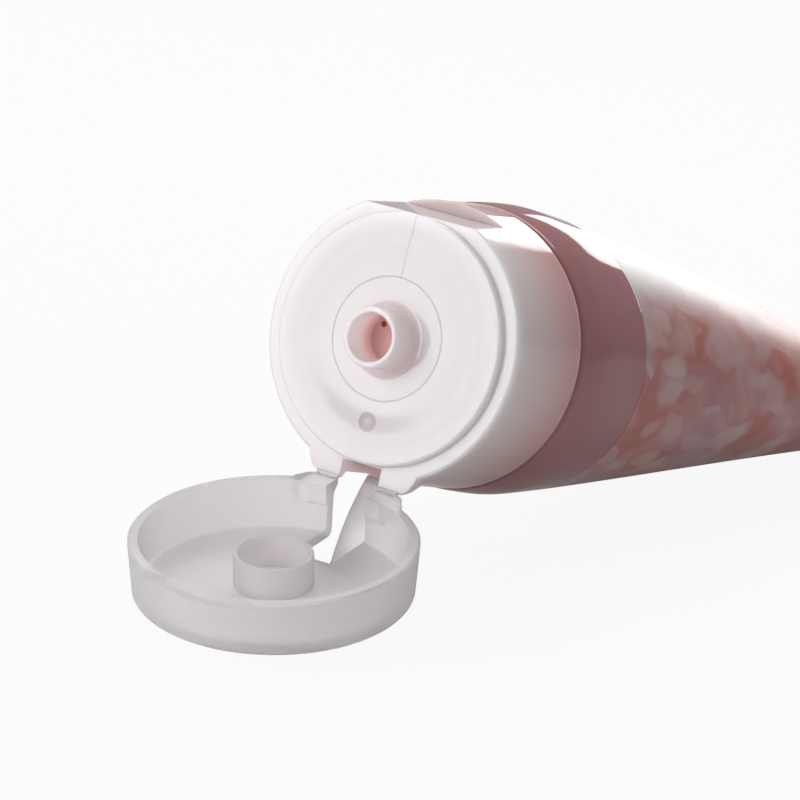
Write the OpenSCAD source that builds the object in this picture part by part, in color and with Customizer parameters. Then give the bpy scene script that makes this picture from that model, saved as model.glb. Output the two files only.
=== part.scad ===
// A squeeze tube of hand cream with a one-piece flip-top cap, lying with its lid open.
// Everything is drawn about the tube's axis: z = 0 is the rim of the cap, +Z leaves the nozzle,
// -Z runs down the tube and +Y points at the lid's hinge. laid_down() then puts it on the floor.

/* [Cap] */
// Radius of the cap's front rim, which the lid and the tube follow
rim_r = 19.5; // [17:0.1:22]
// How much wider the skirt is at its rear edge than at the rim
skirt_flare = 0.35; // [0.2:0.05:0.6]
// Length of the skirt behind the rim
skirt_len = 17.3; // [15:0.1:22]
// Wall of the skirt and of the deck
cap_wall = 1.3; // [0.9:0.1:1.8]
// Width of the ledge round the raised deck, which the lid closes onto
ledge_w = 2.2; // [1.9:0.1:2.6]
// Height of the deck's edge above the rim
deck_h = 1.05; // [0.6:0.05:1.6]
// Width of the deck's border, from its edge in to the flat middle
border_w = 4.1; // [3:0.1:5]
// Height of the flat middle above the deck's edge
dish_rise = 0.25; // [0.1:0.05:0.5]
// Radius of the fine circle on the deck
line_r = 8.5; // [7:0.1:10]
// Radius of the moulding gate's dimple in the deck
dimple_r = 1.3; // [0.8:0.1:1.8]
// Distance from the deck's edge in to the dimple's middle
dimple_in = 5.7; // [4:0.1:7]
// Depth of the finger scoop at the rim
scoop_depth = 2.2; // [1.4:0.1:2.8]
// Length of the finger scoop
scoop_len = 9; // [5:0.1:12]

/* [Nozzle] */
// Radius of the nozzle's bore
bore_r = 3.35; // [2:0.05:3.8]
// Wall of the nozzle
nozzle_wall = 0.8; // [0.6:0.05:1.1]
// Height of the nozzle's tip above the rim
nozzle_h = 5.95; // [5.2:0.05:7]
// Radius of the fillet at the nozzle's foot
nozzle_fillet = 1.4; // [0.6:0.1:1.6]

/* [Hinge] */
// How far the film hinges stand out from the rim
hinge_out = 0.6; // [0.4:0.1:1]
// Length across the two film hinges
hinge_span = 12.8; // [11:0.1:15]
// Radius of a film hinge's web
web_r = 0.3; // [0.2:0.05:0.4]
// Angle of the open lid from closed
open_angle = 113; // [100:1:125]
// Width of the spring strap
strap_w = 5.1; // [4:0.1:6]
// Gap on each side of the strap in its slots
slot_side = 0.6; // [0.3:0.05:0.8]
// Thickness of the spring strap
strap_t = 0.8; // [0.6:0.05:1]
// Distance from the film hinge down to the strap's root
strap_root = 6.9; // [6:0.1:8]
// Distance from the rim in to the strap's tip
strap_foot = 10.1; // [8.5:0.1:11.5]
// Inward bow of the strap's long leg
strap_bow = 0.7; // [0.2:0.1:1]

/* [Lid] */
// Room between the nozzle's tip and the face of the closed lid
lid_air = 1.05; // [0.5:0.05:1.5]
// How much narrower the lid is at its face than at the rim
lid_draft = 0.55; // [0.2:0.05:0.8]
// Radius of the edge round the lid's face
lid_edge = 1; // [0.6:0.1:1.3]
// Wall of the lid
lid_wall = 1.3; // [1:0.1:1.6]
// Wall of the ring that closes over the nozzle
ring_wall = 0.7; // [0.5:0.05:1]
// Height of the ring's mouth above the rim when the lid is closed
ring_mouth = 2.4; // [2.1:0.1:3.5]

/* [Tube] */
// How much wider the sleeve is than the skirt's rear edge
sleeve_step = 0.65; // [0.4:0.05:1]
// Length from the rim to the end of the crimp
tube_len = 170; // [130:1:200]
// Wall of the sleeve
tube_wall = 0.5; // [0.3:0.05:0.8]
// Where the sleeve starts to flatten, behind the rim
round_end = 27; // [24:1:40]
// Length of the crimped tail
crimp_len = 7; // [4:0.5:12]
// Pitch of the crimp's pressed ribs
rib_pitch = 1.4; // [1:0.1:2]
// Outer radius of the neck
neck_r = 8; // [6.5:0.1:9]
// Wall of the neck and of the shoulder
neck_wall = 1.2; // [0.8:0.1:1.6]
// Height of the shoulder's cone from the skirt's rear edge to the neck
shoulder_h = 5; // [3:0.1:7]
// Height of the neck's snap bead above the cone
bead_up = 3.6; // [2.6:0.1:4.5]

/* [Fits] */
// Gap between the closed lid and the cap, and between the skirt and the sleeve
lid_gap = 0.3; // [0.2:0.05:0.5]
// Running gap of the strap's film hinge, the lid's film hinges and the neck
fit_gap = 0.1; // [0.05:0.01:0.2]
// Gap that the lid's ring keeps from the nozzle as the lid swings
swing_gap = 0.05; // [0.03:0.01:0.2]
// Gap between the cream and the walls round it
fill_gap = 0.1; // [0.05:0.01:0.3]

/* [Hidden] */
$fn = 96;
over = 0.5;
far = 60;

// Cap
skirt_r = rim_r + skirt_flare;
deck_r = rim_r - ledge_w;
dish_r = deck_r - border_w;
dish_top = deck_h + dish_rise;
deck_under = deck_h - cap_wall;
scoop_y = rim_r - scoop_depth;
scoop_lean = 0.65;
rim_edge = 0.4;
deck_edge = 0.35;
corner_fill = 0.9;
line_w = 0.15;
line_depth = 0.08;
dimple_depth = 0.15;
gate_r = 0.5;

// Nozzle and the lid's ring: the ring's far inner edge clears the nozzle's tip as it swings past it
nozzle_r = bore_r + nozzle_wall;
tip_edge = 0.25;
ring_bevel = 0.3;
lid_h = nozzle_h + lid_air + lid_wall;
lid_face_r = rim_r - lid_draft;
lid_floor = lid_h - lid_wall;

// The lid's hinge axis lies across the tube at [hinge_y, hinge_z]
hinge_y = rim_r + hinge_out;
hinge_z = lid_gap / 2;
swing = norm([hinge_y + nozzle_r + swing_gap, nozzle_h - tip_edge - hinge_z]);
ring_in = sqrt(pow(swing, 2) - pow(ring_mouth + ring_bevel - hinge_z, 2)) - hinge_y;
ring_r = ring_in + ring_wall;
slot_w = strap_w + 2 * slot_side;
ear_w = hinge_span + 2.4;
ear_len = 3;
ear_flare = 1;
ear_face = 0.8;

// The two ends of the strap, as [y, z]: its root is as far from the tip's closed place as from the
// open one, so the strap is slack at both ends of the lid's travel and snaps between them
tip_closed = [rim_r - strap_foot, lid_h - strap_t / 2];
tip_arm = norm(tip_closed - [hinge_y, hinge_z]);
tip_dir = heading(tip_closed - [hinge_y, hinge_z]);
root_dir = tip_dir - open_angle / 2 + 180;
root = [hinge_y, hinge_z] + strap_root * [cos(root_dir), sin(root_dir)];
tip_open = [hinge_y, hinge_z] + tip_arm * [cos(tip_dir - open_angle), sin(tip_dir - open_angle)];
strap_turn = heading(tip_closed - root) - heading(tip_open - root);
strap_side = (lid_face_r + rim_r - strap_t) / 2 - 0.1;
strap_corner = 2;
tip_gap = 0.4;
seat_r = 2 * web_r + 0.3;

// Tube: the shoulder starts just behind the skirt
tube_r = skirt_r + sleeve_step;
shoulder_z = -skirt_len - lid_gap;
neck_foot = -skirt_len + shoulder_h;
collar_r = neck_r + fit_gap;
collar_foot = neck_foot + 1.5;
bead_r = 0.5;
bead_z = neck_foot + bead_up;
cap_ribs = 8;
cap_rib_t = 0.8;
cap_rib_len = 3.4;
lip = 1.6;
shoulder_flat = 0.8;
head_skirt = 3;
crimp_h = tube_wall + 0.1;
crimp_front = 0.3;
rib_depth = 0.15;
taper_end = tube_len - crimp_len;
stations = 20;
sides = 60;
fill_sides = 48;
fill_stations = 14;

// The tube lies on the edge of its open lid and on the end of its crimp
edge_open = turned([-lid_face_r + lid_edge - hinge_y, lid_h - lid_edge - hinge_z]) + [hinge_y, hinge_z];
lean = [edge_open[1] + tube_len, edge_open[0] - crimp_h];
tilt = heading(lean) + asin(lid_edge / norm(lean));
rim_open = turned([-rim_r - hinge_y, 2 * lid_gap - hinge_z]) + [hinge_y, hinge_z];
front_y = -rim_open[0] * sin(tilt) - rim_open[1] * cos(tilt);
rear_y = crimp_h * sin(tilt) + tube_len * cos(tilt);
floor_z = -crimp_h * cos(tilt) - tube_len * sin(tilt);

function heading(v) = atan2(v[1], v[0]);
function turned(p) = [
    cos(open_angle) * p[0] + sin(open_angle) * p[1],
    cos(open_angle) * p[1] - sin(open_angle) * p[0]
];
function arc(c, r, from, to, n = 6) = [
    for (i = [0 : n]) c + r * [cos(from + (to - from) * i / n), sin(from + (to - from) * i / n)]
];

// Stands the tube's own frame on the floor, with the middle of its length at the origin
module laid_down() {
    translate([0, -(front_y + rear_y) / 2, -floor_z])
        rotate([tilt - 90, 0, 180])
            children();
}

// Swings what is drawn as closed to the open place
module opened() {
    translate([0, hinge_y, hinge_z])
        rotate([-open_angle, 0, 0])
            translate([0, -hinge_y, -hinge_z])
                children();
}

// Extrudes a [y, z] outline across the tube, from -w / 2 to w / 2
module across(w) {
    rotate([90, 0, 90])
        linear_extrude(w, center = true)
            children();
}

// A bar along X at [y, z]
module bar(p, r, w) {
    translate([0, p[0], p[1]])
        rotate([0, 90, 0])
            cylinder(r = r, h = w, center = true, $fn = 32);
}

// The plan of the two hinge ears, with flared sides and a cut corner at each end
module ear_plan() {
    half = ear_w / 2;
    difference() {
        polygon([
            [-half - ear_flare, rim_r - 3], [half + ear_flare, rim_r - 3],
            [half + ear_flare, rim_r - 1.8], [half, hinge_y - 0.6], [half - 0.9, hinge_y],
            [-half + 0.9, hinge_y], [-half, hinge_y - 0.6], [-half - ear_flare, rim_r - 1.8]
        ]);
        circle(r = deck_r + line_w);
    }
}

// The ears under the rim, which run out into the skirt
module base_ears() {
    intersection() {
        translate([0, 0, -ear_len])
            linear_extrude(ear_len)
                ear_plan();
        across(far)
            polygon([[0, 0], [hinge_y, 0], [hinge_y, -ear_face], [rim_r - 1.6, -ear_len], [0, -ear_len]]);
    }
}

// The ears on the lid's wall
module lid_ears() {
    intersection() {
        translate([0, 0, lid_gap])
            linear_extrude(ear_len)
                ear_plan();
        across(far)
            polygon([
                [0, lid_gap], [hinge_y, lid_gap], [hinge_y, lid_gap + ear_face],
                [rim_r - 1.6, lid_gap + ear_len], [0, lid_gap + ear_len]
            ]);
    }
}

// Skirt, rim, raised deck and nozzle in one turned profile
module cap_shell() {
    inside = rim_r - cap_wall;
    rotate_extrude()
        polygon(concat(
            [[bore_r, deck_under], [bore_r, nozzle_h - line_w], [bore_r + line_w, nozzle_h]],
            arc([nozzle_r - tip_edge, nozzle_h - tip_edge], tip_edge, 90, 0, 3),
            arc([nozzle_r + nozzle_fillet, dish_top + nozzle_fillet], nozzle_fillet, 180, 270),
            [[line_r - line_w, dish_top], [line_r, dish_top - line_depth], [line_r + line_w, dish_top]],
            [[dish_r, dish_top], [dish_r + 1.4, deck_h]],
            arc([deck_r - deck_edge, deck_h - deck_edge], deck_edge, 90, 0, 4),
            [[deck_r, line_w], [deck_r + line_w, 0]],
            arc([rim_r - rim_edge, -rim_edge], rim_edge, 90, 0, 4),
            [[skirt_r, -skirt_len], [skirt_r - cap_wall, -skirt_len]],
            [[inside, -cap_wall - corner_fill], [inside - corner_fill, -cap_wall]],
            [[deck_r - cap_wall, -cap_wall], [deck_r - 2 * cap_wall, deck_under]]
        ));
}

// The sleeve inside the cap that snaps over the neck, with its ribs out to the skirt
module cap_collar() {
    rotate_extrude()
        difference() {
            translate([collar_r, collar_foot])
                square([cap_wall - fit_gap, deck_under - collar_foot]);
            translate([neck_r, bead_z])
                circle(r = bead_r + fit_gap, $fn = 24);
        }
    for (i = [0 : cap_ribs - 1])
        rotate([0, 0, (i + 0.5) * 360 / cap_ribs])
            translate([collar_r + cap_wall / 2, -cap_rib_t / 2, -cap_rib_len])
                cube([rim_r - 1.3 * cap_wall - collar_r, cap_rib_t, cap_rib_len + deck_under]);
}

// The flat finger scoop in the front of the skirt, a touch deeper at the rim than at its end
module scoop_cut() {
    across(far)
        polygon([
            [-scoop_y, over], [-scoop_y, 0], [-scoop_y - scoop_lean, -scoop_len],
            [-far, -scoop_len - 1], [-far, over]
        ]);
}

// The wall behind the scoop, before the scoop is cut from it
module scoop_back() {
    intersection() {
        translate([0, 0, -scoop_len - 3])
            cylinder(r = rim_r - cap_wall / 2, h = scoop_len + 3);
        across(far)
            polygon([
                [-scoop_y + cap_wall, -cap_wall / 2],
                [-scoop_y + cap_wall - scoop_lean, -scoop_len - cap_wall],
                [-far, -scoop_len - cap_wall - 1], [-far, -cap_wall / 2]
            ]);
    }
}

// The half bead under the strap's root, with the groove that its film hinge turns in
module strap_seat() {
    difference() {
        intersection() {
            bar(root, seat_r, strap_w);
            across(strap_w)
                polygon([
                    root, root + [-2, -0.8], root + [-2, -3], root + [2, -3], root + [2, -0.8]
                ]);
        }
        bar(root, web_r + fit_gap / 2, strap_w + 1);
    }
}

// The dimple that the moulding gate leaves, with the stub of the gate in it
module gate_dimple() {
    difference() {
        translate([0, deck_r - dimple_in, dish_top - dimple_depth])
            cylinder(r = dimple_r, h = 1, $fn = 32);
        translate([0, deck_r - dimple_in, 0])
            cylinder(r = gate_r, h = dish_top - dimple_depth / 3, $fn = 32);
    }
}

module cap_base() {
    color([0.93, 0.91, 0.93])
        laid_down() {
            difference() {
                union() {
                    cap_shell();
                    cap_collar();
                    scoop_back();
                    base_ears();
                }
                scoop_cut();
                gate_dimple();
                translate([-slot_w / 2, deck_r + line_w, root[1] - strap_t / 2])
                    cube([slot_w, far, over + strap_t / 2 - root[1]]);
                bar([hinge_y, hinge_z], web_r + fit_gap, far);
            }
            strap_seat();
        }
}

// Wall and face of the lid in one turned profile
module lid_shell() {
    in_r = lid_face_r - lid_wall - 0.1;
    rotate_extrude()
        polygon(concat(
            [[0, lid_h]],
            arc([lid_face_r - lid_edge, lid_h - lid_edge], lid_edge, 90, 0, 6),
            [[rim_r, 2 * lid_gap], [rim_r - lid_gap, lid_gap], [rim_r - lid_wall - 0.1, lid_gap]],
            arc([in_r - 0.6, lid_floor - 0.6], 0.6, 0, 90, 4),
            [[0, lid_floor]]
        ));
}

// The ring that closes over the nozzle, with both edges of its mouth bevelled
module lid_ring() {
    rotate_extrude()
        polygon([
            [ring_in, lid_floor + ring_bevel], [ring_in, ring_mouth + ring_bevel],
            [ring_in + ring_bevel, ring_mouth], [ring_r - ring_bevel / 2, ring_mouth],
            [ring_r, ring_mouth + ring_bevel / 2], [ring_r, lid_floor + ring_bevel]
        ]);
}

// The solid straight lip inside the front of the lid, which closes the scoop from above
module lid_lip() {
    intersection() {
        translate([0, 0, lid_gap])
            cylinder(r = lid_face_r - lid_wall / 2, h = lid_h - lid_gap - lid_wall / 3);
        translate([-far / 2, -far - scoop_y, 0])
            cube([far, far, lid_h]);
    }
}

module flip_lid() {
    color([0.86, 0.86, 0.89])
        laid_down() opened() {
            difference() {
                union() {
                    lid_shell();
                    lid_ring();
                    lid_lip();
                    lid_ears();
                }
                translate([-slot_w / 2, tip_closed[0] - tip_gap, -over])
                    cube([slot_w, far, lid_h + 2 * over]);
                lip_undercut();
            }
            for (side = [-1, 1])
                translate([side * (slot_w + hinge_span) / 4, 0, 0])
                    bar([hinge_y, hinge_z], web_r, (hinge_span - slot_w) / 2);
        }
}

// The step outside the straight lip, which a finger lifts the lid by
module lip_undercut() {
    intersection() {
        translate([0, 0, lid_gap - over])
            difference() {
                cylinder(r = far, h = 1.1 + over);
                translate([0, 0, -over])
                    cylinder(r = scoop_y + 0.75, h = 3);
            }
        translate([-scoop_y / 2, -far, -over])
            cube([scoop_y, far - scoop_y, lid_h]);
    }
}

// The strap's outline as [y, z] with the lid closed: up the side in a slight bow, round the
// corner and along the lid's face to the tip
function strap_line() = let (
    top = [strap_side, tip_closed[1] - strap_corner],
    leg = top - root,
    n = 8
) concat(
    [for (i = [0 : n - 1]) root + leg * i / n - [strap_bow * sin(180 * i / n), 0]],
    arc([strap_side - strap_corner, top[1]], strap_corner, 0, 90, 5),
    [tip_closed]
);

module strap_outline() {
    line = strap_line();
    n = len(line) - 1;
    function side(i) = let (d = line[min(i + 1, n)] - line[max(i - 1, 0)]) [-d[1], d[0]] / norm(d);
    polygon(concat(
        [for (i = [0 : n]) line[i] + side(i) * (i == 0 ? web_r : strap_t / 2)],
        [for (i = [n : -1 : 0]) line[i] - side(i) * (i == 0 ? web_r : strap_t / 2)]
    ));
}

module hinge_strap() {
    color([0.88, 0.87, 0.89])
        laid_down()
            translate([0, root[0], root[1]])
                rotate([-strap_turn, 0, 0])
                    translate([0, -root[0], -root[1]]) {
                        across(strap_w)
                            strap_outline();
                        bar(root, web_r, strap_w);
                    }
}

// Half the height of the sleeve, u = 0 where it is round and 1 at the crimp
function half_height(u, bend) = tube_wall + (tube_r - tube_wall) * (1 - pow(u, bend));
// Half the width that keeps the sleeve's girth
function half_width(h) = tube_r + (PI / 2 - 1) * (tube_r - h);
// One station of the sleeve, thinned by t all round: [half width, height below, height above, z]
function station(u, t) = let (
    below = half_height(u, 1.2),
    above = half_height(u, 1.25),
    w = half_width((below + above) / 2)
) [w - t, below - t, above - t, -round_end - (taper_end - round_end) * u];
function round_station(r, z) = [r, r, r, z];
function ring(s, n) = [
    for (i = [0 : n - 1]) let (a = 360 * i / n)
        [s[0] * cos(a), (a < 180 ? s[1] : s[2]) * sin(a), s[3]]
];

// A skin through a list of stations, closed at both ends
module loft(list, n) {
    m = len(list);
    polyhedron(
        points = [for (s = list) each ring(s, n)],
        faces = concat(
            [[for (i = [n - 1 : -1 : 0]) i]],
            [for (k = [0 : m - 2], i = [0 : n - 1]) let (j = (i + 1) % n)
                [k * n + i, (k + 1) * n + j, (k + 1) * n + i]],
            [for (k = [0 : m - 2], i = [0 : n - 1]) let (j = (i + 1) % n)
                [k * n + i, k * n + j, (k + 1) * n + j]],
            [[for (i = [0 : n - 1]) (m - 1) * n + i]]
        )
    );
}

// The tail, pressed flat and welded, with its ribs across both faces
module crimp() {
    steps = 2 * floor(crimp_len / rib_pitch);
    teeth = concat(
        [[crimp_h, crimp_front - taper_end]],
        [for (i = [0 : steps]) [crimp_h - (i % 2) * rib_depth, -taper_end - i * crimp_len / steps]]
    );
    across(2 * half_width(tube_wall) + 0.2)
        polygon(concat(teeth, [for (i = [len(teeth) - 1 : -1 : 0]) [-teeth[i][0], teeth[i][1]]]));
}

// The sleeve from inside its tail to its turned-in front edge and back outside into the crimp
module tube_sleeve() {
    turn_z = shoulder_z - lip;
    hem = lip - tube_wall;
    hidden_w = half_width(tube_wall) - 0.3;
    color([0.68, 0.45, 0.47])
        laid_down() {
            loft(concat(
                [for (i = [stations - 1 : -1 : 0]) station(i / stations, tube_wall)],
                [for (a = [0 : 30 : 90])
                    round_station(tube_r - lip + hem * cos(a), turn_z + hem * sin(a))],
                [for (a = [90 : -15 : 0])
                    round_station(tube_r - lip + lip * cos(a), turn_z + lip * sin(a))],
                [for (i = [0 : stations]) station(i / stations, 0)],
                [[hidden_w, tube_wall / 2, tube_wall / 2, -taper_end - crimp_len / 3]]
            ), sides);
            crimp();
        }
}

// The moulded shoulder and neck, which the sleeve's front edge is welded round
module tube_head() {
    seat = tube_r - tube_wall - fit_gap / 2;
    turn = lip - tube_wall - fit_gap / 2;
    flat_r = seat - turn - shoulder_flat;
    color([0.80, 0.62, 0.62])
        laid_down()
            rotate_extrude()
                polygon(concat(
                    [[neck_r - neck_wall, deck_under], [neck_r, deck_under]],
                    arc([neck_r, bead_z], bead_r, 90, -90),
                    [[neck_r, neck_foot], [flat_r, shoulder_z]],
                    arc([seat - turn, shoulder_z - lip], turn, 90, 0, 3),
                    [[seat, shoulder_z - lip - head_skirt]],
                    [[seat - neck_wall, shoulder_z - lip - head_skirt]],
                    [[seat - neck_wall, shoulder_z - lip], [flat_r, shoulder_z - neck_wall]],
                    [[neck_r - neck_wall, neck_foot - neck_wall]]
                ));
}

// The cream, as it fills the tube up to the nozzle
module cream_fill() {
    top = neck_r - neck_wall - fill_gap;
    under = tube_r - tube_wall - neck_wall - 4 * fill_gap;
    color([0.85, 0.52, 0.50])
        laid_down()
            loft(concat(
                [round_station(top, deck_under - 1), round_station(top, neck_foot - neck_wall)],
                [round_station(under - lip + 0.3, shoulder_z - neck_wall - 4 * fill_gap)],
                [round_station(under, shoulder_z - lip - 3 * fill_gap)],
                [round_station(under, shoulder_z - lip - head_skirt - 2 * fill_gap)],
                [for (i = [1 : fill_stations]) station(i / fill_stations * 0.93, tube_wall + fill_gap)]
            ), fill_sides);
}

cap_base();
flip_lid();
hinge_strap();
tube_sleeve();
tube_head();
cream_fill();
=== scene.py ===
import math
import bpy
from mathutils import Matrix, Vector


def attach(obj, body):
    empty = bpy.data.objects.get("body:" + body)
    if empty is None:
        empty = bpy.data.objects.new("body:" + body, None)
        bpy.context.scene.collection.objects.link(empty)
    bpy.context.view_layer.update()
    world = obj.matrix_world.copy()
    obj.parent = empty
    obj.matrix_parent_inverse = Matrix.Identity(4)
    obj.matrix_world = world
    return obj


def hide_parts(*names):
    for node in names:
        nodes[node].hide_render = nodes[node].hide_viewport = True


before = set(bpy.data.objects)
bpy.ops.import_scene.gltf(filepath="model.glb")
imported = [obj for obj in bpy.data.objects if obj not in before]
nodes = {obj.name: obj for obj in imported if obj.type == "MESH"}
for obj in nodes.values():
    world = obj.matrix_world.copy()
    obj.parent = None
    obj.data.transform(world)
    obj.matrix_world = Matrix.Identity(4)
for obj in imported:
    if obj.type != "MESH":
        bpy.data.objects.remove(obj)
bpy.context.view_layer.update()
MM = 0.001

# Sizes that the part's source gives, in millimetres
BORE_R = 3.35
NOZZLE_H = 5.95
LINE_R = 8.5
DISH_R = 13.2
DISH_SLOPE = 1.4
DISH_RISE = 0.25
RIM_R = 19.5
SCOOP_Y = 17.3
SCOOP_LEN = 9.0
SLOT_HALF = 3.15
TUBE_R = 20.5
TUBE_WALL = 0.5
TUBE_LEN = 170.0
SHOULDER_Z = -17.6
LIP = 1.2
DRAW_IN = 0.5
DRAW_LEN = 11.0
ROUND_END = 27.0
CRIMP_LEN = 7.3
CRIMP_HALF = 0.6
PRINT_EDGE = 35.3
DIMPLE_Y = 11.6
TILT = math.radians(11.71602)
LAID_Y = -(-42.974859 + 166.580069) / 2
LAID_Z = 35.107883
OPEN_ANGLE = math.radians(113)
HINGE_Y, HINGE_Z = 20.1, 0.15

# The tube's own frame, with +Z out of the nozzle and +Y at the hinge, laid on the floor
laid = Matrix.Translation((0, LAID_Y * MM, LAID_Z * MM)) @ Matrix.Rotation(math.pi, 4, "Z") @ Matrix.Rotation(
    TILT - math.pi / 2, 4, "X")
to_hinge = Matrix.Translation((0, HINGE_Y * MM, HINGE_Z * MM))
lid_laid = laid @ to_hinge @ Matrix.Rotation(-OPEN_ANGLE, 4, "X") @ to_hinge.inverted()


def calc(tree, op, *args, clamp=False):
    """One Math node: numbers are set on it and sockets are linked."""
    n = tree.nodes.new("ShaderNodeMath")
    n.operation = op
    n.use_clamp = clamp
    for i, a in enumerate(args):
        if isinstance(a, (int, float)):
            n.inputs[i].default_value = a
        else:
            tree.links.new(a, n.inputs[i])
    return n.outputs[0]


def between(tree, value, low, high, out_low=0.0, out_high=1.0, smooth=True):
    """A clamped ramp of value from low to high."""
    n = tree.nodes.new("ShaderNodeMapRange")
    n.interpolation_type = "SMOOTHSTEP" if smooth else "LINEAR"
    n.clamp = True
    tree.links.new(value, n.inputs["Value"])
    for name, v in (("From Min", low), ("From Max", high), ("To Min", out_low), ("To Max", out_high)):
        n.inputs[name].default_value = v
    return n.outputs["Result"]


def times(tree, first, *rest):
    """The product of masks and numbers."""
    for factor in rest:
        first = calc(tree, "MULTIPLY", first, factor)
    return first


def thin_line(tree, value, place, width, strength=1.0):
    """A line where value passes place, fading over width to each side."""
    off = calc(tree, "ABSOLUTE", calc(tree, "SUBTRACT", value, place))
    return between(tree, off, 0.0, width, strength, 0.0)


def away_from(tree, axes, x, y):
    """How far a point lies from (x, y), seen along the piece's axis."""
    dx, dy = calc(tree, "SUBTRACT", axes["X"], x), calc(tree, "SUBTRACT", axes["Y"], y)
    return calc(tree, "SQRT", calc(tree, "MULTIPLY_ADD", dx, dx, calc(tree, "MULTIPLY", dy, dy)))


def mixed(tree, fac, a, b):
    """Two colours mixed by fac: a colour is a tuple or a socket."""
    n = tree.nodes.new("ShaderNodeMix")
    n.data_type = "RGBA"
    n.clamp_factor = True
    for socket, v in ((n.inputs["Factor"], fac), (n.inputs["A"], a), (n.inputs["B"], b)):
        if isinstance(v, tuple):
            socket.default_value = (*v, 1.0)
        elif isinstance(v, (int, float)):
            socket.default_value = v
        else:
            tree.links.new(v, socket)
    return n.outputs["Result"]


def new_group(name, ins, outs):
    """An empty shader node group with named float sockets."""
    g = bpy.data.node_groups.new(name, "ShaderNodeTree")
    for n, kind, default in ins:
        s = g.interface.new_socket(n, in_out="INPUT", socket_type=kind)
        if default is not None:
            s.default_value = default
    for n, kind in outs:
        g.interface.new_socket(n, in_out="OUTPUT", socket_type=kind)
    return g, g.nodes.new("NodeGroupInput").outputs, g.nodes.new("NodeGroupOutput").inputs


def axes_group(name, matrix):
    """Object coordinates turned into a piece's own axes, in millimetres: X, Y, Z and the distance from Z."""
    g, _, out = new_group(name, [], [(n, "NodeSocketFloat") for n in ("X", "Y", "Z", "Radius")]
                          + [("Place", "NodeSocketVector")])
    coord = g.nodes.new("ShaderNodeTexCoord").outputs["Object"]
    inverse = matrix.inverted()
    moved = g.nodes.new("ShaderNodeMapping")
    moved.vector_type = "POINT"
    moved.inputs["Rotation"].default_value = inverse.to_euler("XYZ")
    moved.inputs["Location"].default_value = inverse.to_translation() / MM
    moved.inputs["Scale"].default_value = (1 / MM,) * 3
    g.links.new(coord, moved.inputs["Vector"])
    split = g.nodes.new("ShaderNodeSeparateXYZ")
    g.links.new(moved.outputs["Vector"], split.inputs[0])
    for n in "XYZ":
        g.links.new(split.outputs[n], out[n])
    square = calc(g, "MULTIPLY", split.outputs["X"], split.outputs["X"])
    radius = calc(g, "SQRT", calc(g, "MULTIPLY_ADD", split.outputs["Y"], split.outputs["Y"], square))
    g.links.new(radius, out["Radius"])
    g.links.new(moved.outputs["Vector"], out["Place"])
    return g


def placed(tree, group, **values):
    """A node group put into a material, with its inputs set or linked."""
    n = tree.nodes.new("ShaderNodeGroup")
    n.node_tree = group
    for name, v in values.items():
        socket = n.inputs[name.replace("_", " ")]
        if isinstance(v, (int, float, tuple)):
            socket.default_value = v
        else:
            tree.links.new(v, socket)
    return n.outputs


def plastic(name, **sockets):
    """A material with one Principled BSDF, whose sockets are set by name."""
    m = bpy.data.materials.new(name)
    m.use_nodes = True
    shader = m.node_tree.nodes["Principled BSDF"]
    for n, v in sockets.items():
        shader.inputs[n.replace("_", " ")].default_value = v
    return m, m.node_tree, shader


tube_axes = axes_group("tube axes", laid)
lid_axes = axes_group("lid axes", lid_laid)


def skin_group():
    """Faint unevenness of a moulded surface: a waviness that bends reflections, and fine specks."""
    g, gin, gout = new_group(
        "mould skin",
        [("Place", "NodeSocketVector", None), ("Wave Size", "NodeSocketFloat", 6.0),
         ("Wave", "NodeSocketFloat", 0.02), ("Grain", "NodeSocketFloat", 0.004),
         ("Roughness", "NodeSocketFloat", 0.2)],
        [("Height", "NodeSocketFloat"), ("Roughness", "NodeSocketFloat"), ("Mottle", "NodeSocketFloat")])
    wave = g.nodes.new("ShaderNodeTexNoise")
    g.links.new(gin["Place"], wave.inputs["Vector"])
    g.links.new(calc(g, "DIVIDE", 1.0, gin["Wave Size"]), wave.inputs["Scale"])
    wave.inputs["Detail"].default_value = 2
    grain = g.nodes.new("ShaderNodeTexNoise")
    g.links.new(gin["Place"], grain.inputs["Vector"])
    grain.inputs["Scale"].default_value = 3.5
    grain.inputs["Detail"].default_value = 3
    waviness = calc(g, "MULTIPLY", wave.outputs["Fac"], gin["Wave"])
    g.links.new(calc(g, "MULTIPLY_ADD", grain.outputs["Fac"], gin["Grain"], waviness), gout["Height"])
    unevenness = calc(g, "SUBTRACT", wave.outputs["Fac"], 0.5)
    g.links.new(calc(g, "MULTIPLY_ADD", unevenness, 0.06, gin["Roughness"]), gout["Roughness"])
    g.links.new(wave.outputs["Fac"], gout["Mottle"])
    return g


mould_skin = skin_group()


def bumped(tree, shader, height):
    """Joins a height in millimetres to the shader's normal."""
    n = tree.nodes.new("ShaderNodeBump")
    n.inputs["Distance"].default_value = MM
    n.inputs["Strength"].default_value = 1.0
    tree.links.new(height, n.inputs["Height"])
    tree.links.new(n.outputs["Normal"], shader.inputs["Normal"])


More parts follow.
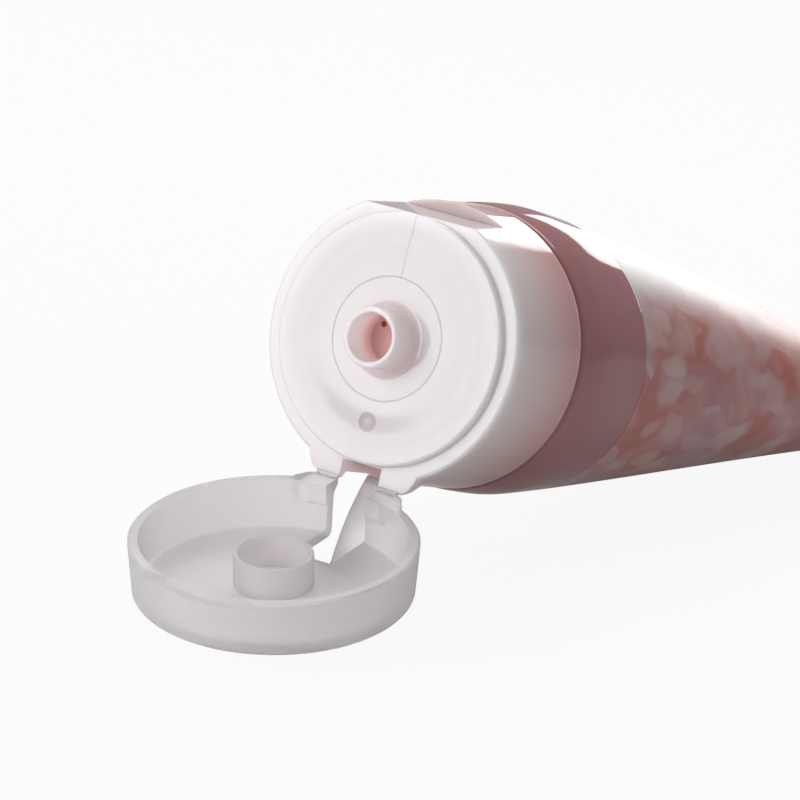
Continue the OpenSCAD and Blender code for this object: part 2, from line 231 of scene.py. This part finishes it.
def cap_material():
    """Natural polypropylene: cool white in front, with the rose of the tube showing through to the rear."""
    m, t, shader = plastic("cap natural plastic", IOR=1.49, Subsurface_Weight=0.85, Subsurface_Scale=0.003,
                           Subsurface_Radius=(1.0, 0.95, 0.95))
    ax = placed(t, tube_axes)
    skin = placed(t, mould_skin, Place=ax["Place"], Wave_Size=9.0, Wave=0.01, Grain=0.0006, Roughness=0.06)
    x, y, z, radius = (ax[n] for n in ("X", "Y", "Z", "Radius"))
    on_deck = between(t, z, 0.9, 1.1)
    colour = mixed(t, between(t, z, -1.0, -17.0, smooth=False), (1.0, 0.81, 0.81), (0.68, 0.36, 0.35))
    colour = mixed(t, between(t, z, -1.2, -0.2), colour, (0.92, 0.85, 0.885))
    near_nozzle = times(t, between(t, radius, 7.4, 4.2), between(t, z, 6.5, 1.4, 0.25, 1.0), 0.55)
    colour = mixed(t, near_nozzle, colour, (0.92, 0.74, 0.74))
    in_bore = times(t, between(t, radius, BORE_R + 0.1, BORE_R + 0.03),
                    between(t, z, NOZZLE_H - 0.05, NOZZLE_H - 0.45))
    # Painted light: the bore's wall is painted pale at the tip and coral lower down, for light and the
    # cream's pink coming through its thin wall
    bore_painted_light = mixed(t, between(t, z, 3.6, 0.2), (0.97, 0.88, 0.88), (0.95, 0.60, 0.57))
    colour = mixed(t, in_bore, colour, bore_painted_light)
    # A fine circle on the deck, and the weld line from it to the scoop
    circle = times(t, thin_line(t, radius, LINE_R, 0.16, 0.35), between(t, z, 0.8, 1.1))
    weld = times(t, thin_line(t, x, 0.0, 0.14), between(t, y, -8.0, -8.6), between(t, z, 0.6, 1.0), 0.8)
    lines = calc(t, "ADD", circle, weld, clamp=True)
    colour = mixed(t, times(t, lines, 0.4), colour, (0.42, 0.38, 0.42))
    # Painted shade in hollows: the dimple at the injection point is darker to its edge, and the scoop greyer,
    # most of all at its end wall
    from_gate = away_from(t, ax, 0.0, DIMPLE_Y)
    dimple_shade = times(t, between(t, from_gate, 1.45, 1.2), between(t, z, 0.9, 1.0),
                 between(t, from_gate, 0.4, 0.8, 0.4, 0.85))
    colour = mixed(t, dimple_shade, colour, (0.56, 0.46, 0.50))
    # Painted shade on the scoop's cut faces
    scoop_shade = times(t, between(t, radius, RIM_R - 0.15, RIM_R - 0.4),
                     between(t, y, 0.4 - SCOOP_Y, 0.1 - SCOOP_Y), between(t, z, 0.1, -0.2))
    colour = mixed(t, scoop_shade, colour, (0.70, 0.60, 0.60))
    # Painted shade, darker still, on the scoop's end wall
    scoop_end_shade = times(t, between(t, z, 0.2 - SCOOP_LEN, 0.05 - SCOOP_LEN),
                     between(t, z, -0.3 - SCOOP_LEN, -0.15 - SCOOP_LEN), between(t, y, -17.4, -17.8), 0.75)
    colour = mixed(t, scoop_end_shade, colour, (0.46, 0.34, 0.35))
    dish_shade = times(t, between(t, radius, 8.8, 12.2), between(t, radius, 13.6, 12.6), on_deck, 0.4)
    colour = mixed(t, dish_shade, colour, (0.82, 0.76, 0.80))
    colour = mixed(t, between(t, skin["Mottle"], 0.35, 0.7, 0.0, 0.05), colour, (0.6, 0.5, 0.55))
    t.links.new(colour, shader.inputs["Base Color"])
    t.links.new(skin["Roughness"], shader.inputs["Roughness"])
    # The dish's edge is rounded off over a wider ring than its moulded slope
    slope = between(t, radius, DISH_R, DISH_R + DISH_SLOPE, 0.0, DISH_RISE, smooth=False)
    rounded = calc(t, "SUBTRACT", slope, between(t, radius, 9.5, 13.6, 0.0, 0.05))
    bumped(t, shader, calc(t, "ADD", rounded, calc(t, "SUBTRACT", skin["Height"], times(t, lines, 0.03))))
    # Light that comes through the thin walls into the bore and the strap's slot
    glow = mixed(t, in_bore, (0.0, 0.0, 0.0), (0.06, 0.05, 0.052))
    slot_x = between(t, calc(t, "ABSOLUTE", x), SLOT_HALF + 0.35, SLOT_HALF + 0.15)
    in_slot = times(t, slot_x, between(t, y, 15.5, 17.0), between(t, z, -0.1, -0.6))
    glow = mixed(t, in_slot, glow, (0.11, 0.085, 0.09))
    t.links.new(glow, shader.inputs["Emission Color"])
    shader.inputs["Emission Strength"].default_value = 1.0
    return m


def lid_material():
    """The cap's plastic, but thinner, so that light comes through its walls."""
    m, t, shader = plastic("lid natural plastic", IOR=1.4, Subsurface_Weight=0.8, Subsurface_Scale=0.004,
                           Subsurface_Radius=(1.0, 0.9, 0.9), Transmission_Weight=0.6)
    ax = placed(t, lid_axes)
    skin = placed(t, mould_skin, Place=ax["Place"], Wave_Size=6.0, Wave=0.02, Grain=0.001, Roughness=0.42)
    # Painted shade on the floor inside the lid's cup, where it lies in the hollow
    lid_floor_shade = times(t, between(t, ax["Z"], 5.6, 7.0), between(t, ax["Radius"], 17.8, 16.5))
    colour = mixed(t, lid_floor_shade, (0.94, 0.905, 0.92), (0.85, 0.805, 0.815))
    t.links.new(colour, shader.inputs["Base Color"])
    t.links.new(skin["Roughness"], shader.inputs["Roughness"])
    bumped(t, shader, skin["Height"])
    return m


def strap_material():
    """The same plastic in the strap, which is thin enough to glow."""
    m, t, shader = plastic("strap natural plastic", IOR=1.4, Subsurface_Weight=0.8, Subsurface_Scale=0.003,
                           Subsurface_Radius=(1.0, 0.95, 0.95), Transmission_Weight=0.4)
    ax = placed(t, tube_axes)
    skin = placed(t, mould_skin, Place=ax["Place"], Wave_Size=4.0, Wave=0.02, Grain=0.003, Roughness=0.26)
    t.links.new(mixed(t, skin["Mottle"], (0.97, 0.93, 0.945), (1.0, 0.97, 0.98)), shader.inputs["Base Color"])
    t.links.new(skin["Roughness"], shader.inputs["Roughness"])
    bumped(t, shader, skin["Height"])
    return m


def head_material():
    """Rose plastic of the shoulder and neck."""
    m, t, shader = plastic("head rose plastic", IOR=1.5, Subsurface_Weight=0.3, Subsurface_Scale=0.001)
    ax = placed(t, tube_axes)
    skin = placed(t, mould_skin, Place=ax["Place"], Wave_Size=5.0, Wave=0.02, Grain=0.003, Roughness=0.25)
    t.links.new(mixed(t, skin["Mottle"], (0.55, 0.28, 0.28), (0.6, 0.32, 0.31)), shader.inputs["Base Color"])
    t.links.new(skin["Roughness"], shader.inputs["Roughness"])
    bumped(t, shader, skin["Height"])
    return m


def cream_material():
    """The cream, wet and soft, with a faint painted glow, and the dark spot that the nozzle shows painted as
    the shade of a small hollow.
    """
    m, t, shader = plastic("pink cream", IOR=1.42, Subsurface_Weight=0.9, Subsurface_Scale=0.004)
    ax = placed(t, tube_axes)
    skin = placed(t, mould_skin, Place=ax["Place"], Wave_Size=2.0, Wave=0.3, Grain=0.01, Roughness=0.3)
    colour = mixed(t, skin["Mottle"], (0.98, 0.68, 0.66), (0.93, 0.58, 0.56))
    # Painted shade: the dark spot stands for a small hollow in the cream
    from_hollow_shade = away_from(t, ax, 2.4, -1.6)
    colour = mixed(t, between(t, from_hollow_shade, 0.55, 0.3), colour, (0.45, 0.06, 0.05))
    t.links.new(colour, shader.inputs["Base Color"])
    # Painted glow: the cream gives off a little of its own colour, though it is no lamp
    t.links.new(colour, shader.inputs["Emission Color"])
    shader.inputs["Emission Strength"].default_value = 0.1
    t.links.new(skin["Roughness"], shader.inputs["Roughness"])
    bumped(t, shader, skin["Height"])
    return m


def petals(tree, place, size, seed, stretch, turn):
    """Soft random petals: a mask, and a random number for each one's colour."""
    m = tree.nodes.new("ShaderNodeMapping")
    m.inputs["Location"].default_value = (seed, seed * 0.7, 0)
    m.inputs["Rotation"].default_value = (turn, turn * 0.6, turn * 0.3)
    m.inputs["Scale"].default_value = (1 / size, 1 / size, 1 / (size * stretch))
    warp = tree.nodes.new("ShaderNodeTexNoise")
    warp.inputs["Scale"].default_value = 0.16
    warp.inputs["Detail"].default_value = 1
    tree.links.new(place, warp.inputs["Vector"])
    push = tree.nodes.new("ShaderNodeVectorMath")
    push.operation = "MULTIPLY_ADD"
    push.inputs[1].default_value = (5.0, 5.0, 5.0)
    tree.links.new(warp.outputs["Color"], push.inputs[0])
    tree.links.new(place, push.inputs[2])
    tree.links.new(push.outputs[0], m.inputs["Vector"])
    v = tree.nodes.new("ShaderNodeTexVoronoi")
    v.feature = "SMOOTH_F1"
    v.inputs["Scale"].default_value = 1.0
    v.inputs["Smoothness"].default_value = 0.35
    tree.links.new(m.outputs[0], v.inputs["Vector"])
    mask = between(tree, v.outputs["Distance"], 0.74, 0.42)
    pick = tree.nodes.new("ShaderNodeSeparateColor")
    tree.links.new(v.outputs["Color"], pick.inputs[0])
    return mask, pick.outputs["Red"], pick.outputs["Green"]


def sleeve_material():
    """Glossy rose band in front, then a print of soft petals on grey-white."""
    m, t, shader = plastic("printed sleeve", IOR=1.45)
    ax = placed(t, tube_axes)
    skin = placed(t, mould_skin, Place=ax["Place"], Wave_Size=14.0, Wave=0.05, Grain=0.0004, Roughness=0.07)
    rose = mixed(t, between(t, skin["Mottle"], 0.3, 0.7), (0.42, 0.18, 0.19), (0.38, 0.155, 0.165))
    paper = (0.80, 0.78, 0.78)
    wash = mixed(t, between(t, skin["Mottle"], 0.4, 0.56), (0.55, 0.36, 0.36), (0.47, 0.16, 0.14))
    tint = wash
    for size, seed, stretch, turn, strength, low, high in (
            (11.0, 3.1, 1.3, 0.7, 0.9, (0.43, 0.21, 0.24), (0.50, 0.13, 0.10)),
            (7.5, 11.7, 1.3, -0.5, 0.7, (0.50, 0.14, 0.11), (0.58, 0.33, 0.28)),
            (5.5, 23.9, 1.5, 1.9, 0.5, (0.66, 0.56, 0.57), (0.44, 0.25, 0.30)),
            (3.6, 41.3, 1.6, 0.2, 0.35, (0.74, 0.67, 0.66), (0.50, 0.16, 0.14))):
        mask, pick, keep = petals(t, ax["Place"], size, seed, stretch, turn)
        tint = mixed(t, times(t, mask, strength, between(t, keep, 0.2, 0.4)), tint, mixed(t, pick, low, high))
    # Painted sheen: toward the top of the tube the petals give way to plain paper, for the soft highlight
    # that whitens the top
    print_with_painted_sheen = mixed(t, between(t, ax["Y"], -17.5, -8.0), paper, tint)
    edge = between(t, ax["Z"], -PRINT_EDGE + 0.05, -PRINT_EDGE - 0.05)
    colour = mixed(t, edge, rose, print_with_painted_sheen)
    seam = thin_line(t, ax["Z"], -PRINT_EDGE, 0.16)
    colour = mixed(t, times(t, seam, 0.6), colour, (0.25, 0.12, 0.13))
    t.links.new(colour, shader.inputs["Base Color"])
    t.links.new(calc(t, "MULTIPLY_ADD", edge, 0.3, skin["Roughness"]), shader.inputs["Roughness"])
    # The weld to the shoulder draws the front of the sleeve in, which bends what it mirrors
    slack = between(t, ax["Z"], SHOULDER_Z - DRAW_LEN, SHOULDER_Z, smooth=False)
    film = calc(t, "SUBTRACT", times(t, edge, 0.04), times(t, seam, 0.08))
    bumped(t, shader, calc(t, "ADD", calc(t, "ADD", skin["Height"], times(t, slack, slack, -0.6)), film))
    return m


def sleeve_tree():
    """The sleeve's skin: a grid bent round the tube, turned in at the front and pressed flat at the crimp."""
    g = bpy.data.node_groups.new("sleeve loft", "GeometryNodeTree")
    g.interface.new_socket("Geometry", in_out="OUTPUT", socket_type="NodeSocketGeometry")
    sizes = {"Radius": TUBE_R, "Lip": LIP, "Draw In": DRAW_IN, "Front": SHOULDER_Z, "Round End": ROUND_END,
             "Length": TUBE_LEN, "Crimp Length": CRIMP_LEN, "Crimp Half": CRIMP_HALF, "Wall": TUBE_WALL,
             "Rib Height": 0.15, "Rib Pitch": 1.4}
    for n, v in sizes.items():
        g.interface.new_socket(n, in_out="INPUT", socket_type="NodeSocketFloat").default_value = v
    g.interface.new_socket("Material", in_out="INPUT", socket_type="NodeSocketMaterial")
    inp = g.nodes.new("NodeGroupInput").outputs
    grid = g.nodes.new("GeometryNodeMeshGrid")
    grid.inputs["Size X"].default_value = 1.0
    grid.inputs["Size Y"].default_value = 1.0
    grid.inputs["Vertices X"].default_value = 193
    grid.inputs["Vertices Y"].default_value = 241
    place = g.nodes.new("GeometryNodeInputPosition")
    split = g.nodes.new("ShaderNodeSeparateXYZ")
    g.links.new(place.outputs[0], split.inputs[0])
    around = calc(g, "ADD", split.outputs["X"], 0.5)
    along = calc(g, "SUBTRACT", 0.5, split.outputs["Y"])
    angle = calc(g, "MULTIPLY", around, 2 * math.pi)
    # rows: 0 to 0.02 inner hem, to 0.1 the turned edge, to 0.7 the body, to 0.99 the crimp,
    # then the closed end
    hem = between(g, along, 0.0, 0.02, 1.0, 0.0, smooth=False)
    bend = between(g, along, 0.02, 0.1, math.pi / 2, 0.0, smooth=False)
    body = between(g, along, 0.1, 0.7, 0.0, 1.0, smooth=False)
    tail = between(g, along, 0.704, 0.985, 0.0, 1.0, smooth=False)
    pressed = calc(g, "GREATER_THAN", along, 0.702)
    shut = between(g, along, 0.9855, 0.9995, 1.0, 0.0, smooth=False)
    taper_len = calc(g, "SUBTRACT", calc(g, "SUBTRACT", inp["Length"], inp["Crimp Length"]), inp["Round End"])
    straight = calc(g, "ADD", calc(g, "SUBTRACT", inp["Round End"], inp["Lip"]), inp["Front"])
    body_len = calc(g, "ADD", straight, taper_len)
    run = calc(g, "MULTIPLY", body, body_len)
    past_round = calc(g, "MAXIMUM", calc(g, "SUBTRACT", run, straight), 0.0)
    u = calc(g, "MINIMUM", calc(g, "DIVIDE", past_round, taper_len), 1.0)
    rise = calc(g, "SUBTRACT", inp["Radius"], inp["Wall"])

    def half(power):
        """Half of the tube's height along the taper."""
        left = calc(g, "SUBTRACT", 1.0, calc(g, "POWER", u, power))
        return calc(g, "MULTIPLY_ADD", rise, left, inp["Wall"])

    below, above = half(1.2), half(1.25)
    mean = calc(g, "MULTIPLY", calc(g, "ADD", below, above), 0.5)
    width = calc(g, "MULTIPLY_ADD", calc(g, "SUBTRACT", inp["Radius"], mean), math.pi / 2 - 1, inp["Radius"])
    # The turned edge, and the sleeve's front drawn in a little where it is welded to the shoulder
    slack = calc(g, "SUBTRACT", 1.0, calc(g, "DIVIDE", run, DRAW_LEN), clamp=True)
    inward = calc(g, "MULTIPLY_ADD", calc(g, "MULTIPLY", slack, slack), inp["Draw In"], calc(
        g, "MULTIPLY", inp["Lip"], calc(g, "SUBTRACT", 1.0, calc(g, "COSINE", bend))))
    forward = calc(g, "MULTIPLY", inp["Lip"], calc(g, "SINE", bend))
    c = calc(g, "COSINE", angle)
    s = calc(g, "SINE", angle)
    upper = calc(g, "GREATER_THAN", s, 0.0)
    height = calc(g, "ADD", calc(g, "MULTIPLY", upper, below),
                  calc(g, "MULTIPLY", calc(g, "SUBTRACT", 1.0, upper), above))
    # The crimp is flat up to its folded sides, and its ribs are pressed across it
    square = calc(g, "MAXIMUM", calc(g, "MINIMUM", calc(g, "MULTIPLY", s, 20.0), 1.0), -1.0)
    s = calc(g, "MULTIPLY_ADD", calc(g, "SUBTRACT", square, s), pressed, s)
    wave = calc(g, "COSINE", calc(g, "DIVIDE", calc(g, "MULTIPLY", calc(
        g, "MULTIPLY", tail, inp["Crimp Length"]), 2 * math.pi), inp["Rib Pitch"]))
    rib = calc(g, "MULTIPLY", calc(g, "SUBTRACT", 1.0, wave), calc(g, "MULTIPLY", inp["Rib Height"], 0.5))
    flat = calc(g, "SUBTRACT", calc(g, "SUBTRACT", inp["Crimp Half"], inp["Wall"]), rib)
    height = calc(g, "MULTIPLY_ADD", flat, pressed, calc(g, "SUBTRACT", height, inward))
    height = calc(g, "MULTIPLY", height, shut)
    width = calc(g, "MULTIPLY_ADD", pressed, 0.1, width)
    x = calc(g, "MULTIPLY", calc(g, "SUBTRACT", width, inward), c)
    y = calc(g, "MULTIPLY", height, s)
    z = calc(g, "SUBTRACT", calc(g, "SUBTRACT", inp["Front"], inp["Lip"]), run)
    z = calc(g, "SUBTRACT", calc(g, "ADD", z, forward), calc(g, "MULTIPLY", tail, inp["Crimp Length"]))
    z = calc(g, "SUBTRACT", z, calc(g, "MULTIPLY", hem, 3.0))
    joined = g.nodes.new("ShaderNodeCombineXYZ")
    for k, v in zip("XYZ", (x, y, z)):
        g.links.new(v, joined.inputs[k])
    put = g.nodes.new("GeometryNodeSetPosition")
    g.links.new(grid.outputs["Mesh"], put.inputs["Geometry"])
    g.links.new(joined.outputs[0], put.inputs["Position"])
    weld_up = g.nodes.new("GeometryNodeMergeByDistance")
    weld_up.inputs["Distance"].default_value = 0.0005
    smooth = g.nodes.new("GeometryNodeSetShadeSmooth")
    real = g.nodes.new("GeometryNodeRealizeInstances")
    paint = g.nodes.new("GeometryNodeSetMaterial")
    g.links.new(inp["Material"], paint.inputs["Material"])
    chain = [put, weld_up, smooth, real, paint]
    for a, b in zip(chain, chain[1:]):
        g.links.new(a.outputs[0], b.inputs["Geometry"])
    g.links.new(paint.outputs[0], g.nodes.new("NodeGroupOutput").inputs["Geometry"])
    return g


def grown(name, tree, matrix, material):
    """Runs a geometry tree and keeps its result as a plain mesh at its place, in metres."""
    seed = bpy.data.objects.new("seed", bpy.data.meshes.new("seed"))
    bpy.context.scene.collection.objects.link(seed)
    mod = seed.modifiers.new("grow", "NODES")
    mod.node_group = tree
    for item in tree.interface.items_tree:
        if item.item_type == "SOCKET" and item.in_out == "INPUT":
            mod[item.identifier] = material if item.name == "Material" else item.default_value
    depsgraph = bpy.context.evaluated_depsgraph_get()
    mesh = bpy.data.meshes.new_from_object(seed.evaluated_get(depsgraph))
    bpy.data.objects.remove(seed)
    mesh.name = name
    mesh.transform(matrix @ Matrix.Scale(MM, 4))
    o = bpy.data.objects.new(name, mesh)
    bpy.context.scene.collection.objects.link(o)
    return o


def dress(o, material):
    """Gives a piece one material."""
    o.data.materials.clear()
    o.data.materials.append(material)


sleeve = grown("sleeve_skin", sleeve_tree(), laid, sleeve_material())
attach(sleeve, "tube")
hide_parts("tube_sleeve")
for node, material in (("cap_base", cap_material), ("flip_lid", lid_material),
                       ("hinge_strap", strap_material), ("tube_head", head_material),
                       ("cream_fill", cream_material)):
    dress(nodes[node], material())


def floor_material():
    """White to the camera and through clear plastic, pale to the light, with the object's shadow kept."""
    m = bpy.data.materials.new("floor white")
    m.use_nodes = True
    t = m.node_tree
    t.nodes.clear()
    path = t.nodes.new("ShaderNodeLightPath").outputs
    direct = calc(t, "ADD", path["Is Camera Ray"], path["Is Transmission Ray"], clamp=True)
    seen = calc(t, "ADD", times(t, direct, 0.93), times(t, path["Is Glossy Ray"], 0.15), clamp=True)
    diffuse = t.nodes.new("ShaderNodeBsdfDiffuse")
    diffuse.inputs["Color"].default_value = (0.6, 0.6, 0.6, 1)
    white = t.nodes.new("ShaderNodeEmission")
    white.inputs["Strength"].default_value = 1.0
    both = t.nodes.new("ShaderNodeMixShader")
    for socket, source in zip(both.inputs, (seen, diffuse.outputs[0], white.outputs[0])):
        t.links.new(source, socket)
    t.links.new(both.outputs[0], t.nodes.new("ShaderNodeOutputMaterial").inputs["Surface"])
    return m


floor_mesh = bpy.data.meshes.new("floor")
floor_mesh.from_pydata([(-4, -4, 0), (4, -4, 0), (4, 4, 0), (-4, 4, 0)], [], [(0, 1, 2, 3)])
floor_mesh.materials.append(floor_material())
floor = bpy.data.objects.new("floor", floor_mesh)
bpy.context.scene.collection.objects.link(floor)

# Camera at the photograph's place
cam = bpy.data.objects.new("camera", bpy.data.cameras.new("camera"))
bpy.context.scene.collection.objects.link(cam)
cam.data.sensor_width = 36
cam.data.lens = 225
cam.data.clip_start, cam.data.clip_end = 0.05, 20
right = Vector((0.83863932, 0.53068222, 0.12272112))
up = Vector((-0.24135379, 0.16007118, 0.95714449))
ahead = Vector((-0.48829545, 0.8323182, -0.26232415))
spot = Vector((0.33378173, -0.62644518, 0.20509995))
cam.matrix_world = Matrix.Translation(spot) @ Matrix((right, up, -ahead)).transposed().to_4x4()
bpy.context.scene.camera = cam


def area_lamp(name, size, power):
    """A rectangular lamp at the origin that shines down."""
    lamp = bpy.data.lights.new(name, "AREA")
    lamp.shape = "RECTANGLE"
    lamp.size, lamp.size_y = size
    lamp.energy = power
    o = bpy.data.objects.new(name, lamp)
    bpy.context.scene.collection.objects.link(o)
    return o


def softbox(name, toward, distance, size, power):
    """A lamp that shines at the cap from a direction given as right, up and back of the camera."""
    o = area_lamp(name, size, power)
    d = (right * toward[0] + up * toward[1] - ahead * toward[2]).normalized()
    o.location = Vector((0.0, -0.05, 0.025)) + d * distance
    o.rotation_mode = "QUATERNION"
    o.rotation_quaternion = d.to_track_quat("Z", "Y")


softbox("key left", (-0.8, 0.35, 0.65), 0.9, (0.6, 0.6), 4.3)
softbox("top", (0.15, 1.0, -0.35), 0.6, (0.6, 0.3), 2.4)

# A bright panel behind and to the left, which the tube's top mirrors with a sharp lower edge
panel = area_lamp("panel behind", (0.38, 0.4), 1.8)
panel.location = (-0.25, 1.0, 0.19)
panel.rotation_euler = (-math.pi / 2, 0, 0)

world = bpy.data.worlds.new("world")
bpy.context.scene.world = world
world.use_nodes = True
t = world.node_tree
background = t.nodes["Background"]
background.inputs["Color"].default_value = (1, 1, 1, 1)
# Soft light for the object, and as white as the floor where the camera or clear plastic sees past its edge
path = t.nodes.new("ShaderNodeLightPath")
direct = calc(t, "ADD", path.outputs["Is Camera Ray"], path.outputs["Is Transmission Ray"], clamp=True)
t.links.new(calc(t, "MULTIPLY_ADD", direct, 0.63, 0.32), background.inputs["Strength"])

bpy.context.scene.view_settings.view_transform = "Standard"
